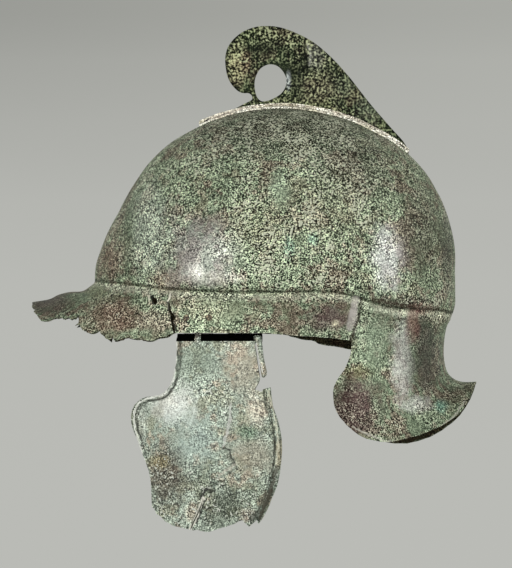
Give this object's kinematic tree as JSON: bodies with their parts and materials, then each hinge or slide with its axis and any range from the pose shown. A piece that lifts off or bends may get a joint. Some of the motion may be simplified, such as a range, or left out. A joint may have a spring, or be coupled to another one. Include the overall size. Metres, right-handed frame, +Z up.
{
  "type": "helmet",
  "caption": "Ancient bronze helmet with a domed bowl, ragged peak, flared neck guard, pierced crest plate and hinged cheekpieces.",
  "frame": {"origin": "middle of the head opening, at the level of the side band's lower edge", "axes": "+Z up, -X towards the peak, -Y towards the wearer's left"},
  "size_m": [0.2977, 0.193, 0.3389],
  "materials": {
    "green_bronze": "rough green and brown patina with pale specks",
    "dark_bronze": "dark green patina with yellow-green specks",
    "pale_bronze": "worn pale green and tan patina",
    "cheek_bronze": "smooth pale green, grey and tan patina",
    "brown_bronze": "dull dark brown patina"
  },
  "bodies": {
    "shell": {"helmet_bowl": "green_bronze", "crest_plate": "dark_bronze", "crest_foot_left": "pale_bronze", "crest_foot_right": "pale_bronze", "crest_rivet_front_left": "brown_bronze", "crest_rivet_rear_left": "brown_bronze", "crest_rivet_front_right": "brown_bronze", "crest_rivet_rear_right": "brown_bronze", "hinge_leaf_left": "brown_bronze", "hinge_leaf_right": "brown_bronze", "hinge_pin_left": "brown_bronze", "hinge_pin_right": "brown_bronze", "hinge_rivet_front_left": "brown_bronze", "hinge_rivet_rear_left": "brown_bronze", "hinge_rivet_front_right": "brown_bronze", "hinge_rivet_rear_right": "brown_bronze"},
    "left_cheek": {"cheekpiece_left": "cheek_bronze"},
    "right_cheek": {"cheekpiece_right": "cheek_bronze"}
  },
  "joints": [
    {"name": "left_cheek_hinge", "type": "hinge", "parent": "shell", "child": "left_cheek", "pos_m": [-0.0515, -0.08195, 0.0044], "axis": [0.9703, -0.2419, 0], "range_deg": [-50, 30]},
    {"name": "right_cheek_hinge", "type": "hinge", "parent": "shell", "child": "right_cheek", "pos_m": [-0.0515, 0.08195, 0.0044], "axis": [-0.9703, -0.2419, 0], "range_deg": [-50, 30]}
  ]
}
